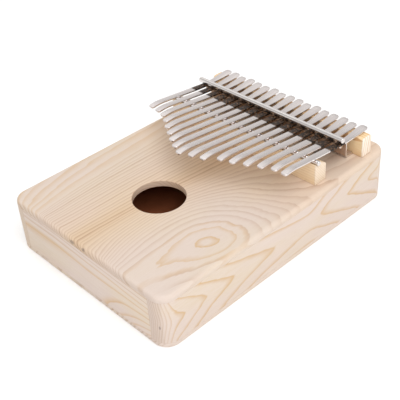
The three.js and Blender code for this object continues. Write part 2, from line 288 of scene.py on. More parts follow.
PINE = Tones(srgb("d7c8bd"), srgb("d4c3ad"), srgb("d3c2b8"), srgb("b4937a"), srgb("c9a679"))
FRONT_BRIDGE_TONES = Tones(srgb("ebdcc8"), srgb("e6d0b4"), srgb("e6d2bd"), srgb("c29c74"), srgb("ecc78a"))
REAR_BRIDGE_TONES = Tones(srgb("f8efe2"), srgb("f2e4d0"), srgb("f1e5d6"), srgb("c8935f"), srgb("ecc78a"))
BRACE_TONES = Tones(srgb("a87a50"), srgb("99683c"), srgb("a0704a"), srgb("6f4526"), srgb("c9a679"))
# A deeper golden ground, partly the board's tone and partly painted warm shade.
GOLDEN_TONE_AND_SHADE = srgb("d9bb97")
END_GRAIN = srgb("a1846c")
END_MARK = srgb("6f625c")
BORED_WOOD = srgb("c49a84")
INSIDE_BROWN = srgb("b86c48")
INSIDE_BROWN_DARK = srgb("864a2b")

# The darker brown inside reaches just past the inner faces of the box, and no further.
INSIDE_REACH = 0.03
INSIDE_FADE = 0.02
INSIDE_X = HALF_WIDTH - WALL + INSIDE_REACH
INSIDE_Y = HALF_LENGTH - WALL + INSIDE_REACH
INSIDE_LOW = BACK_HIGH.z - INSIDE_REACH
INSIDE_HIGH = TOP_LOW.z + INSIDE_REACH

# A growth line ends at this part of its year, and no line is fainter than this share of the darkest.
LATE_END = 0.92
FAINTEST_LINE = 0.15
LINE_STRENGTH = 0.85

WOOD_IOR = 1.45
WOOD_SPECULAR = 0.35


class Figure:
    """How the growth rings run through one board.

    ring counts the years, and late_start is the part of a year after which its latewood shows.
    gold is the share of gold in the latewood's colour, band that of a golden heart band, and
    deep that of a deeper golden ground, partly the board's tone and partly painted warm shade.
    uneven is how far the years' widths differ, and waver how much the lines wander.
    """

    def __init__(self, ring, contrast, late_start, gold=None, band=None, deep=None, uneven=0.9, waver=1.0):
        self.ring = ring
        self.contrast = contrast
        self.late_start = late_start
        self.gold = gold
        self.band = band
        self.deep = deep
        self.uneven = uneven
        self.waver = waver


def growth_rings(f, figure, ring):
    """Latewood, from 0 to 1: it darkens through the late part of each year and stops short."""
    year = ring + f.noise(ring * 0.6, 3.1, 0.0, detail=1.0) * figure.uneven
    part = year.fraction()
    rise = ((part - figure.late_start) / (LATE_END - figure.late_start)).most(0.0).least(1.0)
    line = rise.power(1.3) * part.step(1.0, LATE_END)
    chance = f.noise(year.floor() * 1.37, 0.5, 8.2, detail=0.0)
    heavy = chance * 1.6 * figure.uneven + (1.0 - figure.uneven * 1.1)
    return line * heavy.most(FAINTEST_LINE).least(1.0) * figure.contrast


def bored_wall(f):
    """1 on the wall of the sound hole and 0 elsewhere."""
    off = f.y - SOUND_HOLE_Y
    return (f.x * f.x + off * off).sqrt().step(SOUND_HOLE_RADIUS + 0.5, SOUND_HOLE_RADIUS)


def fleck_at(f, x, y, z, width):
    """1 in the middle of a small upright fleck, falling to 0 at its edge."""
    dx, dy, dz = ((f.x - x) / width, f.y - y, (f.z - z) * 0.5)
    return (dx * dx + dy * dy + dz * dz).sqrt().step(0.8, 0.35)


def inside_box(f):
    """1 on the inner faces of the hollow box and 0 elsewhere."""
    sides = f.x.absolute().step(INSIDE_X + INSIDE_FADE, INSIDE_X)
    ends = f.y.absolute().step(INSIDE_Y + INSIDE_FADE, INSIDE_Y)
    back = f.z.step(INSIDE_LOW - INSIDE_FADE, INSIDE_LOW)
    top = f.z.step(INSIDE_HIGH + INSIDE_FADE, INSIDE_HIGH)
    return sides * ends * back * top


def wood(name, make_figure, grain, tones=PINE, lined=False, end=None, marks=(), bored=False):
    """make_figure(f) gives the board's Figure.

    grain is 'x' or 'y', the way the fibres run. lined boards are darker brown inside the box. end is
    how far out along the grain the end grain shows, and marks are the x, y, z and width of small
    dark flecks. bored is for the board with the sound hole.
    """
    f = Finish(name)
    along, across = (f.x, f.y) if grain == "x" else (f.y, f.x)
    figure = make_figure(f)
    wobble = f.noise(along * 0.035, across * 0.16, f.z * 0.16, detail=2.0)
    ripple = f.noise(along * 0.22, across * 0.5, f.z * 0.5, detail=1.0)
    ring = figure.ring + ((wobble - 0.5) * 0.8 + (ripple - 0.5) * 0.14) * figure.waver
    rings = growth_rings(f, figure, ring)
    fibre = f.noise(along * 0.09, across * 2.6, f.z * 2.6, detail=3.0, roughness=0.65)
    fleck = f.noise(along * 0.5, across * 5.5, f.z * 5.5, detail=1.0)
    cloud = f.noise(along * 0.012 + 4.0, across * 0.03, f.z * 0.05, detail=1.0)
    base = f.mix(cloud.step(0.35, 0.66), tones.blush, tones.warm)
    base = f.mix(fibre.step(0.2, 0.75), tones.pale, base)
    # Partly the board's tone and partly painted warm shade.
    if figure.deep is not None:
        base = f.mix(figure.deep, base, GOLDEN_TONE_AND_SHADE)
    if figure.band is not None:
        base = f.mix(figure.band * (fibre * 0.5 + 0.5), base, tones.gold)
    line_colour = tones.late if figure.gold is None else f.mix(figure.gold, tones.late, tones.gold)
    base = f.mix(rings * LINE_STRENGTH, base, line_colour)
    pores = fleck.step(0.62, 0.78) * fibre.step(0.4, 0.6)
    base = f.mix(pores * 0.22, base, tones.late)
    if end is not None:
        open_end = along.absolute().step(end, end + 1.2)
        base = f.mix(open_end * (rings * 0.45 + fleck * 0.3), base, END_GRAIN)
    if bored:
        base = f.mix(bored_wall(f) * 0.25, base, BORED_WOOD)
    for mark in marks:
        base = f.mix(fleck_at(f, *mark) * (fleck.step(0.3, 0.6) * 0.45 + 0.25), base, END_MARK)
    # Darker brown on the inner faces of the box.
    if lined:
        mottle = f.noise(f.x * 0.09, f.y * 0.09, f.z * 0.09, detail=2.0)
        base = f.mix(inside_box(f), base, f.mix(mottle, INSIDE_BROWN_DARK, INSIDE_BROWN))
    f.colour(base)
    f.roughness(0.56 + fibre * 0.16 - rings * 0.08)
    f.bump(fibre * 0.6 + rings * 0.4 + fleck * 0.15, 0.03)
    f.shader.inputs["IOR"].default_value = WOOD_IOR
    f.shader.inputs["Specular IOR Level"].default_value = WOOD_SPECULAR
    return f.material


# The figures below are drawn with places, widths and heights in millimetres, and with growth rings
# counted as years. A step is given by the two places between which it changes, and a hill by its middle
# and its reach.

# How far a flame's loops reach to either side of its heart, and how far it takes them to lean over.
FLAME_REACH = 40.0
FLAME_LEAN_LENGTH = 50.0


def flame(sideways, lengthways, middle, start, lean):
    """Distance from the heart of a cathedral figure, whose closed loops stretch along the grain.

    They are long and blunt ahead of start, short and pointed behind it, and lean over by lean.
    """
    near = (0.0 - ((sideways - middle) / FLAME_REACH).power(2.0)).exponent()
    run = lengthways - start
    heart = (run / FLAME_LEAN_LENGTH).tanh() * lean * near + middle
    dx = sideways - heart
    ahead = (run.most(0.0) / 46.0).power(1.2).tanh() * 40.0
    behind = ((0.0 - run).most(0.0) / 26.0).power(0.75).tanh() * 15.0
    depth = (ahead + behind) * (near * 0.6 + 0.4)
    return (dx * dx + depth * depth).sqrt()


def years_out(distance, stretches):
    """Growth rings counted outwards. A stretch is where it starts, where it stops and a ring's width."""
    years = distance * 0.0
    for start, stop, width in stretches:
        years = years + (distance - start).most(0.0).least(stop - start) / width
    return years


# The middle of the closed loops on the top, and how wide the rings are further and further out.
LOOPS_X = 49.5
LOOPS_Y = -46.0
TOP_YEARS = ((0.0, 17.0, 6.5), (17.0, 30.0, 3.7), (30.0, 50.0, 1.9), (50.0, 94.0, 2.4), (94.0, 200.0, 7.0))


def top_figure(f):
    """Closed loops at the front right, fine straight lines, and wide gold bands down the left edge."""
    slanted = f.x + (f.z - TOP_HIGH.z) * 1.1
    leftward = slanted.step(-28.0, -58.0)
    foot = (-50.0 - f.y).most(0.0)
    # The lines down the left edge drift, and those beside the loops spread apart at the foot.
    rift = leftward * ((f.y + 50.0) * 0.11 - foot * foot * 0.0065)
    fan = slanted.hill(20.0, 25.0) * foot * foot * 0.005
    distance = flame(slanted + rift - fan, f.y, LOOPS_X, LOOPS_Y, lean=9.0)
    ring = years_out(distance, TOP_YEARS) - 0.22
    blank = f.x.step(44.0, 54.0) * f.y.step(-76.0, -86.0)
    loops = distance.step(18.0, 14.0)
    edge = distance.step(90.0, 97.0)
    heart_lines = distance.hill(53.0, 11.0)
    straight_lines = distance.hill(74.0, 18.0)
    shown = (1.0 - blank * 0.85) * (1.0 - f.x.absolute().step(64.0, 66.0) * 0.6)
    darker = heart_lines * 0.4 + straight_lines * 0.35 + loops * 0.22
    contrast = shown * (0.76 + darker - distance.hill(18.0, 5.0) * 0.3)
    late_start = 0.36 + loops * 0.14 - edge * 0.1
    # Down the middle of the top and over its rear half, a deeper golden ground is partly the board's tone and
    # partly painted warm shade under the tines and the bridges.
    deep = slanted.hill(-6.0, 44.0) * 0.45 + f.y.step(-20.0, 20.0) * 0.35
    gold = (loops + edge).least(1.0)
    return Figure(ring, contrast, late_start, gold=gold, band=heart_lines * 0.4, deep=deep)


def back_figure(f):
    """One even flame off the middle of the board."""
    distance = flame(f.z * 0.9 - f.x, 0.0 - f.y, 20.0, 15.0, lean=6.0)
    shown = 0.75 - f.x.absolute().step(64.0, 66.0) * 0.5
    return Figure(distance / 2.8, shown, 0.45)


def rail_figure(side, height, opening):
    """Points of V figures that meet near the middle of a rail, with end grain round its corners."""
    def figure(f):
        along = f.y * side
        depth = HALF_WIDTH - f.x * side
        front = ((along + HALF_LENGTH - 1.6) / 68.0).tanh() * 4.6
        rear = (71.0 - along) / 21.7 + 2.0
        crest = front.calculate("SMOOTH_MIN", rear, 0.5)
        off = f.z - height - along * 0.01
        spread = ((off * off + 4.0).sqrt() - 2.0) * opening
        corner = along.absolute().step(84.0, 91.0).most(depth.step(0.8, 4.0))
        ring = crest + spread - depth * 0.75
        return Figure(ring, 0.95 - corner * 0.45, 0.64 - corner * 0.25,
                      gold=1.0 - corner * 0.6, uneven=0.25, waver=0.55)
    return figure


def end_figure(side, drop):
    """A wide soft band at one end that splits into closer lines, some of them turning down, at the other."""
    def figure(f):
        across = f.x * side
        fallen = f.z + across.step(-25.0, 15.0) * 1.5 + 3.0 + drop
        plain = 2.4 - ((fallen - 4.0) / 18.5).most(0.0).power(4.2) * 0.4
        closer = (22.5 - f.z) / 3.4 + 1.0
        ring = plain.blend(across.step(5.0, 70.0), closer) + (f.y.absolute() - HALF_LENGTH) * 0.2
        wide = across.step(10.0, -30.0)
        band = (f.z + drop).hill(20.5, 4.5) * across.step(5.0, -35.0) * 0.6
        gold = 0.3 + f.z.step(28.0, 24.0) * 0.7
        return Figure(ring, 0.9 - wide * 0.1, 0.6 - wide * 0.25, gold=gold, band=band, uneven=0.1, waver=0.35)
    return figure


def bar_figure(node, y, z, spacing, contrast, golden):
    """The rings of a bar along X with its heart at y and z. golden is the gold of its long faces."""
    _, high = node_box(node)

    def figure(f):
        dy = f.y - y
        dz = f.z - z
        distance = (dy * dy + dz * dz).sqrt() + f.x * 0.02
        long_face = f.x.absolute().step(high.x - 0.4, high.x - 1.0)
        return Figure(distance / spacing, contrast, 0.35, waver=0.5, band=long_face * golden)
    return figure


# The end grain shows past these distances from the middle of a board.
PLATE_END = 91.2
RAIL_END = 90.0

# The x, y, z and width of each small dark fleck.
TOP_MARKS = ((-6.5, -92.3, 33.1, 3.2), (3.5, -92.3, 33.2, 2.0))
RAIL_MARKS = ((61.5, -91.6, 14.0, 1.0),)

PINE_TOP = wood("pine_top", top_figure, "y", lined=True, end=PLATE_END, marks=TOP_MARKS, bored=True)
PINE_BACK = wood("pine_back", back_figure, "y", lined=True, end=PLATE_END)
PINE_RAIL_RIGHT = wood(
    "pine_rail_right", rail_figure(side=1.0, height=19.2, opening=0.11), "y",
    lined=True, end=RAIL_END, marks=RAIL_MARKS,
)
PINE_RAIL_LEFT = wood(
    "pine_rail_left", rail_figure(side=-1.0, height=15.0, opening=0.09), "y", lined=True, end=RAIL_END,
)
PINE_END_FRONT = wood("pine_end_front", end_figure(side=1.0, drop=0.0), "x", lined=True)
PINE_END_REAR = wood("pine_end_rear", end_figure(side=-1.0, drop=4.0), "x", lined=True)
FRONT_BRIDGE_WOOD = wood(
    "front_bridge_wood",
    bar_figure("front_bridge", y=120.0, z=110.0, spacing=1.1, contrast=0.5, golden=0.5),
    "x", tones=FRONT_BRIDGE_TONES,
)
REAR_BRIDGE_WOOD = wood(
    "rear_bridge_wood",
    bar_figure("rear_bridge", y=-120.0, z=70.0, spacing=2.0, contrast=1.0, golden=0.95),
    "x", tones=REAR_BRIDGE_TONES,
)
BRACE_WOOD = wood(
    "brace_wood",
    bar_figure("inner_brace", y=90.0, z=0.0, spacing=2.0, contrast=0.8, golden=0.0),
    "x", tones=BRACE_TONES,
)

# ---- Metal ----

METAL_SPECULAR = 0.2


def metal(name, light, dark, smoothest, roughest, brushing, scratch=0.004, tinted=None):
    """brushing is 'x' or 'y', the way the fine polishing lines run, and scratch is how deep they are.

    tinted(f, base) gives another base colour, with shade and reflection painted into it, and how bare the
    metal is from 0 to 1.
    """
    f = Finish(name)
    along, across = (f.x, f.y) if brushing == "x" else (f.y, f.x)
    fine = f.noise(along * 0.25, across * 9.0, f.z * 9.0, detail=2.0, roughness=0.6)
    smear = f.noise(along * 0.05, across * 0.35, f.z * 0.35, detail=3.0)
    handled = smear.step(0.35, 0.72)
    base = f.mix(handled * 0.7 + fine * 0.3, light, dark)
    f.shader.inputs["Metallic"].default_value = 1.0
    if tinted is not None:
        base, bare = tinted(f, base)
        f.tree.links.new(bare.socket, f.shader.inputs["Metallic"])
    f.colour(base)
    f.roughness(handled * (roughest - smoothest) + fine * 0.05 + smoothest)
    f.bump(fine, scratch, strength=0.5)
    f.shader.inputs["Specular IOR Level"].default_value = METAL_SPECULAR
    return f.material


# The stretch of each tine, along Y, around the pressure rod where shade and dark reflection are painted on
# the steel.
PAINTED_SHADE_FRONT = 46.8
PAINTED_SHADE_REAR = 60.3
PAINTED_SHADE_BROWN = srgb("664a35")
PAINTED_SHADE_DARK = srgb("1f150e")


def painted_rod_shade(f, base):
    """Painted shade and dark reflection: mottled dark brown on the steel around the rod and the bead, which
    is made less metallic there.
    """
    stretch = f.y.step(PAINTED_SHADE_FRONT - 0.5, PAINTED_SHADE_FRONT + 0.5) * f.y.step(PAINTED_SHADE_REAR + 0.4, PAINTED_SHADE_REAR)
    mottle = f.noise(f.x * 0.9, f.y * 0.6, f.z * 0.5, detail=3.0)
    tint = f.mix(mottle.step(0.48, 0.66), PAINTED_SHADE_DARK, PAINTED_SHADE_BROWN)
    return f.mix(stretch, base, tint), 1.0 - stretch


# The tines' steel carries painted shade and dark reflection around the pressure rod.
SPRING_STEEL = metal("spring_steel", srgb("e6dfdd"), srgb("dad2d0"), 0.22, 0.34, "y", tinted=painted_rod_shade)
SATIN_STEEL = metal("satin_steel", srgb("e9e4e1"), srgb("dcd6d4"), 0.2, 0.3, "x", scratch=0.002)
CHROME = metal("bright_steel", srgb("e6e2e0"), srgb("d9d4d3"), 0.05, 0.12, "x", scratch=0.002)

# Brown painted on the bracket's faces, for the shaded wood they reflect and the shade on them.
SHEET_REFLECTION_BROWN = srgb("a8805c")


def painted_sheet_reflection(f, base):
    """Painted reflection and shade: the sheet's flat faces are painted brown and made dull, and its sheared
    ends and its lower bend stay bright.
    """
    low, high = node_box("bracket")
    middle = (low.x + high.x) / 2
    half = (high.x - low.x) / 2
    face = (f.x - middle).absolute().step(half - 0.1, half - 0.3) * f.z.step(low.z + 0.9, low.z + 1.7)
    mottle = f.noise(f.x * 0.3, f.y * 0.4, f.z * 0.4, detail=3.0)
    return f.mix(face * (mottle * 0.4 + 0.6), base, SHEET_REFLECTION_BROWN), 1.0 - face * 0.6


# The bracket's flat faces carry painted brown reflection and shade.
SHEET_STEEL = metal(
    "sheet_steel", srgb("e6e2e0"), srgb("d9d4d3"), 0.14, 0.25, "x", scratch=0.002, tinted=painted_sheet_reflection,
)
ZINC = metal("zinc", srgb("b9bbbf"), srgb("95979c"), 0.28, 0.45, "x", scratch=0.01)

# ---- Meshes ----

# Edges that turn by more degrees than this stay sharp in the shading.
SHARP = 38
MERGE_DISTANCE = 1e-7


def add_piece(name, mesh, material, body, nodes, sharp=SHARP):
    """Puts a finished mesh, in millimetres, into the scene in place of the CAD nodes it stands for."""
    mesh.transform(Matrix.Scale(MM, 4))
    work = bmesh.new()
    work.from_mesh(mesh)
    bmesh.ops.remove_doubles(work, verts=work.verts, dist=MERGE_DISTANCE)
    bmesh.ops.recalc_face_normals(work, faces=work.faces)
    work.to_mesh(mesh)
    work.free()
    mesh.materials.clear()
    mesh.materials.append(material)
    mesh.polygons.foreach_set("use_smooth", [True] * len(mesh.polygons))
    mesh.set_sharp_from_angle(angle=math.radians(sharp))
    piece = bpy.data.objects.new(name, mesh)
    bpy.context.scene.collection.objects.link(piece)
    if isinstance(body, str):
        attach(piece, body)
    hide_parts(*nodes)
    return piece


def mesh_of(name, points, faces):
    """A mesh from its points and from the numbers of each face's corners."""
    mesh = bpy.data.meshes.new(name)
    mesh.from_pydata([tuple(point) for point in points], [], faces)
    return mesh


def loft(name, rings):
    """Skins a row of matching rings and closes both ends."""
    count = len(rings[0])
    points = [point for ring in rings for point in ring]
    faces = []
    for ring in range(len(rings) - 1):
        for spot in range(count):
            a = ring * count + spot
            b = ring * count + (spot + 1) % count
            faces.append((a, b, b + count, a + count))
    last = (len(rings) - 1) * count
    faces.append(tuple(reversed(range(count))))
    faces.append(tuple(range(last, last + count)))
    return mesh_of(name, points, faces)


def arc(radius, start, stop, steps):
    """Points on an arc about the origin, as pairs. Angles are in degrees."""
    angles = (math.radians(start + (stop - start) * step / steps) for step in range(steps + 1))
    return [(radius * math.cos(angle), radius * math.sin(angle)) for angle in angles]


def modified(mesh, kind, **settings):
    """The mesh after one modifier of this kind."""
    work = bpy.data.objects.new("work", mesh)
    bpy.context.scene.collection.objects.link(work)
    modifier = work.modifiers.new(kind.lower(), kind)
    for name, value in settings.items():
        setattr(modifier, name, value)
    bpy.context.view_layer.update()
    result = bpy.data.meshes.new_from_object(work.evaluated_get(bpy.context.evaluated_depsgraph_get()))
    bpy.data.objects.remove(work)
    return result


def softened(mesh, width, segments=3, angle=35):
    """Rounds the edges that turn by more than angle, in degrees."""
    return modified(
        mesh, "BEVEL", width=width, segments=segments,
        limit_method="ANGLE", angle_limit=math.radians(angle), miter_outer="MITER_ARC",
    )


def extrude_across(name, profile, low_x, high_x):
    """Extrudes a closed (Y, Z) profile along X."""
    return loft(name, [[(x, y, z) for y, z in profile] for x in (low_x, high_x)])


# ---- Sound box ----

CORNER_RADIUS = 9
CORNER_STEPS = 14
TOP_EDGE_ROUND = 2.5
BACK_EDGE_ROUND = 1
SEAM_ROUND = 0.22
END_BOARD_ROUND = 0.12
SEAM_STEPS = 3
EDGE_STEPS = 8
RIM_STEPS = 5

# A narrow flat strip inside a plate's edge, and one round each hole, keep the rounds' shading clean.
EDGE_FLAT = 0.6
RIM_FLAT = 0.5

# A hole is its x, y, radius, the rounding of its upper rim and its number of sides.
SOUND_HOLE = (0, SOUND_HOLE_Y, SOUND_HOLE_RADIUS, 0.45, 128)
SCREW_HOLES = [(x, 58.5, 1.2, 0.1, 24) for x in (-38.5, -10.5, 10.5, 38.5)]
SCREW_HOLES += [(x, 69.6, 1.4, 0.1, 24) for x in (-42, 0, 42)]


def plate_outline(inset, half_x, half_y):
    """A rectangle with round corners, drawn in by inset."""
    radius = CORNER_RADIUS - inset
    outline = []
    for side_x, side_y, start in ((1, -1, -90), (1, 1, 0), (-1, 1, 90), (-1, -1, 180)):
        middle_x = side_x * (half_x - CORNER_RADIUS)
        middle_y = side_y * (half_y - CORNER_RADIUS)
        outline += [(middle_x + x, middle_y + y) for x, y in arc(radius, start, start + 90, CORNER_STEPS)]
    return outline


def edge_profile(low, high, low_round, high_round, steps):
    """(inset, height) pairs up the edge of a plate from the flat below to the flat above."""
    up = [(low_round - x, low + low_round + z) for x, z in arc(low_round, -90, 0, steps)]
    down = [(high_round - x, high - high_round + z) for x, z in arc(high_round, 0, 90, steps)]
    return up + down


def plate(name, low, high, low_round, high_round, half, holes):
    """A plate with round corners and rounded edges, and with holes through it."""
    work = bmesh.new()

    def loop(points, z):
        made = [work.verts.new((x, y, z)) for x, y in points]
        edges = [work.edges.new((made[i - 1], made[i])) for i in range(len(made))]
        return made, edges

    def wall(loops):
        for lower, upper in zip(loops, loops[1:]):
            for i in range(len(lower)):
                work.faces.new((lower[i - 1], lower[i], upper[i], upper[i - 1]))

    profile = edge_profile(low, high, low_round, high_round, EDGE_STEPS)
    profile = [(low_round + EDGE_FLAT, low), *profile, (high_round + EDGE_FLAT, high)]
    outer = [loop(plate_outline(inset, *half), z) for inset, z in profile]
    wall([made for made, _ in outer])
    bottom = list(outer[0][1])
    top = list(outer[-1][1])
    for x, y, radius, rim, sides in holes:
        inner = [(radius + RIM_FLAT, low), (radius, low)]
        inner += [(radius + rim - dx, high - rim + dz) for dx, dz in arc(rim, 0, 90, RIM_STEPS)]
        inner.append((radius + rim + RIM_FLAT, high))
        circles = [loop([(x + px, y + py) for px, py in arc(r, 0, 360, sides)[:-1]], z) for r, z in inner]
        wall([made for made, _ in circles])
        bottom += circles[0][1]
        top += circles[-1][1]
    bmesh.ops.triangle_fill(work, edges=bottom, use_beauty=True)
    bmesh.ops.triangle_fill(work, edges=top, use_beauty=True)
    mesh = bpy.data.meshes.new(name)
    work.to_mesh(mesh)
    work.free()
    return mesh


def outline_loft(name, outline, low, high, round_by):
    """Raises an outline between two heights, with small rounds at its lower and upper edges."""
    rings = []
    for inset, z in edge_profile(low, high, round_by, round_by, SEAM_STEPS):
        ring = []
        for i, (x, y) in enumerate(outline):
            before = Vector(outline[i - 1])
            after = Vector(outline[(i + 1) % len(outline)])
            along_before = (Vector((x, y)) - before).normalized()
            along_after = (after - Vector((x, y))).normalized()
            inward = Vector((-along_before.y, along_before.x)) + Vector((-along_after.y, along_after.x))
            inward /= max(0.5, inward.length_squared / 2)
            ring.append((x + inward.x * inset, y + inward.y * inset, z))
        rings.append(ring)
    return loft(name, rings)


def rail_outline(half_x, half_y):
    """The right rail from above: a flat inner face, and round corners outside."""
    inside = half_x - WALL
    corner_x = half_x - CORNER_RADIUS
    corner_y = half_y - CORNER_RADIUS
    outline = [(inside, -half_y)]
    outline += [(corner_x + x, y - corner_y) for x, y in arc(CORNER_RADIUS, -90, 0, CORNER_STEPS)]
    outline += [(corner_x + x, y + corner_y) for x, y in arc(CORNER_RADIUS, 0, 90, CORNER_STEPS)]
    outline.append((inside, half_y))
    return outline


def make_sound_box():
    """The top, the back, the two side rails and the two end boards between them."""
    half = (HALF_WIDTH, HALF_LENGTH)
    holes = [SOUND_HOLE, *SCREW_HOLES]
    top = plate("top_plate_wood", TOP_LOW.z, TOP_HIGH.z, SEAM_ROUND, TOP_EDGE_ROUND, half, holes)
    add_piece("top_plate_wood", top, PINE_TOP, "sound_box", ["top_plate"])

    low, high = node_box("back_plate")
    back = plate("back_plate_wood", low.z, high.z, BACK_EDGE_ROUND, SEAM_ROUND, half, [])
    add_piece("back_plate_wood", back, PINE_BACK, "sound_box", ["back_plate"])

    low, high = node_box("side_rail_right")
    right = outline_loft("side_rail_right_wood", rail_outline(*half), low.z, high.z, SEAM_ROUND)
    left = right.copy()
    left.transform(Matrix.Rotation(math.pi, 4, "Z"))
    add_piece("side_rail_right_wood", right, PINE_RAIL_RIGHT, "sound_box", ["side_rail_right"])
    add_piece("side_rail_left_wood", left, PINE_RAIL_LEFT, "sound_box", ["side_rail_left"])

    for end, material in (("front", PINE_END_FRONT), ("rear", PINE_END_REAR)):
        low, high = node_box(f"end_block_{end}")
        outline = [(low.x, low.y), (high.x, low.y), (high.x, high.y), (low.x, high.y)]
        block = outline_loft(f"end_block_{end}_wood", outline, low.z, high.z, SEAM_ROUND)
        block = softened(block, END_BOARD_ROUND, segments=2)
        add_piece(f"end_block_{end}_wood", block, material, "sound_box", [f"end_block_{end}"])


make_sound_box()

# ---- Bridges and rods ----

FRONT_ROD_Y = 34
FRONT_ROD_Z = 49.2
FRONT_ROD_RADIUS = 1.5
GROOVE_GAP = 0.3
GROOVE_STEPS = 14
FRONT_BRIDGE_EDGE = 0.4
REAR_BRIDGE_EDGE = 0.5
REAR_BRIDGE_ROUND = 1.6
REAR_BRIDGE_STEPS = 10

# The front bridge is flat this far behind the rod, and then slopes down to its rear edge.
BRIDGE_CREST = 2.4
BRIDGE_REAR_DROP = 2.2
BRIDGE_REAR_EDGE = ((-0.9, 0.25), (-0.25, -0.2), (0, -0.9))

# A rod's faced end is slightly hollow, between these shares of its radius.
ROD_SIDES = 48
ROD_END_STEPS = 6
ROD_DISH_DEPTH = 0.05
ROD_DISH_INNER = 0.45
ROD_DISH_OUTER = 0.6


def make_front_bridge():
    """A bar with a round groove for the front rod, and a sloping top behind it."""
    low, high = node_box("front_bridge")
    radius = FRONT_ROD_RADIUS + GROOVE_GAP
    edge = math.degrees(math.asin((high.z - FRONT_ROD_Z) / radius))
    groove = arc(radius, 180 - edge, 360 + edge, GROOVE_STEPS)
    rear_top = high.z - BRIDGE_REAR_DROP
    profile = [(low.y, low.z), (low.y, high.z)]
    profile += [(FRONT_ROD_Y + y, FRONT_ROD_Z + z) for y, z in groove]
    profile.append((FRONT_ROD_Y + BRIDGE_CREST, high.z))
    profile += [(high.y + dy, rear_top + dz) for dy, dz in BRIDGE_REAR_EDGE]
    profile.append((high.y, low.z))
    bar = softened(extrude_across("front_bridge_bar", profile, low.x, high.x), FRONT_BRIDGE_EDGE, angle=50)
    add_piece("front_bridge_bar", bar, FRONT_BRIDGE_WOOD, "sound_box", ["front_bridge"])


def make_rear_bridge():
    """A bar with both of its long upper edges rounded."""
    low, high = node_box("rear_bridge")
    shoulder = high.z - REAR_BRIDGE_ROUND
    profile = [(low.y, low.z), (high.y, low.z)]
    for y, start in ((high.y - REAR_BRIDGE_ROUND, 0), (low.y + REAR_BRIDGE_ROUND, 90)):
        quarter = arc(REAR_BRIDGE_ROUND, start, start + 90, REAR_BRIDGE_STEPS)
        profile += [(y + dy, shoulder + dz) for dy, dz in quarter]
    bar = softened(extrude_across("rear_bridge_bar", profile, low.x, high.x), REAR_BRIDGE_EDGE, angle=50)
    add_piece("rear_bridge_bar", bar, REAR_BRIDGE_WOOD, "sound_box", ["rear_bridge"])


def make_rod(name, node, end_round, material):
    """A drawn rod along X with slightly rounded, faced ends."""
    low, high = node_box(node)
    middle = (low + high) / 2
    radius = (high.y - low.y) / 2
    crown = [(end_round - x, radius - end_round + z) for x, z in arc(end_round, 0, 90, ROD_END_STEPS)]
    dish = [(ROD_DISH_DEPTH, radius * ROD_DISH_INNER), (0.0, radius * ROD_DISH_OUTER)]
    half_profile = dish + crown
    length = high.x - low.x
    profile = half_profile + [(length - x, r) for x, r in reversed(half_profile)]
    rings = [
        [(low.x + x, middle.y + py, middle.z + pz) for py, pz in arc(r, 0, 360, ROD_SIDES)[:-1]]
        for x, r in profile
    ]
    add_piece(name, loft(name, rings), material, "sound_box", [node])


make_front_bridge()
make_rear_bridge()
make_rod("front_rod_steel", "front_rod", end_round=0.35, material=CHROME)
make_rod("pressure_rod_steel", "pressure_rod", end_round=0.5, material=SATIN_STEEL)

# ---- Bracket ----

SHEET = 1.3
SHEET_EDGE = 0.15
BEND_STEPS = 8
BEAD_STEPS = 28
BEND_RADIUS = 2.5
BEAD_RADIUS = 1.65
BEAD_Y = 60
WEB_FRONT = 64.9

# The clamping screws pass the bead through notches.
CLAMP_SCREWS = 4
NOTCH_HALF_WIDTH = 1.5
NOTCH_Y = (57.0, 60.2)
NOTCH_Z = (43.0, 49.5)


def bracket_profile(base, foot_rear, lip_top):
    """The sheet's section in (Y, Z): foot, web, lip and the bead at the lip's free edge."""
    inner = BEND_RADIUS - SHEET
    foot_y = WEB_FRONT + BEND_RADIUS
    foot_z = base + BEND_RADIUS
    lip_y = WEB_FRONT - inner
    lip_z = lip_top - BEND_RADIUS
    bead_z = lip_top - BEAD_RADIUS
    join = math.degrees(math.asin((lip_top - SHEET - bead_z) / BEAD_RADIUS))

    def bend(y, z, radius, start, stop, steps=BEND_STEPS):
        return [(y + dy, z + dz) for dy, dz in arc(radius, start, stop, steps)]

    return [
        (foot_rear, base),
        *bend(foot_y, foot_z, BEND_RADIUS, -90, -180),
        *bend(lip_y, lip_z, inner, 0, 90),
        *bend(BEAD_Y, bead_z, BEAD_RADIUS, join, -270, steps=BEAD_STEPS),
        *bend(lip_y, lip_z, BEND_RADIUS, 90, 0),
        *bend(foot_y, foot_z, inner, 180, 270),
        (foot_rear, base + SHEET),
    ]


def boxes_mesh(name, boxes):
    """One mesh of separate boxes, each given by its lowest and highest corner."""
    points = []
    faces = []
    for low, high in boxes:
        first = len(points)
        points += [(x, y, z) for x in (low[0], high[0]) for y in (low[1], high[1]) for z in (low[2], high[2])]
        for face in ((0, 1, 3, 2), (4, 6, 7, 5), (0, 4, 5, 1), (2, 3, 7, 6), (0, 2, 6, 4), (1, 5, 7, 3)):
            faces.append(tuple(first + spot for spot in face))
    return mesh_of(name, points, faces)


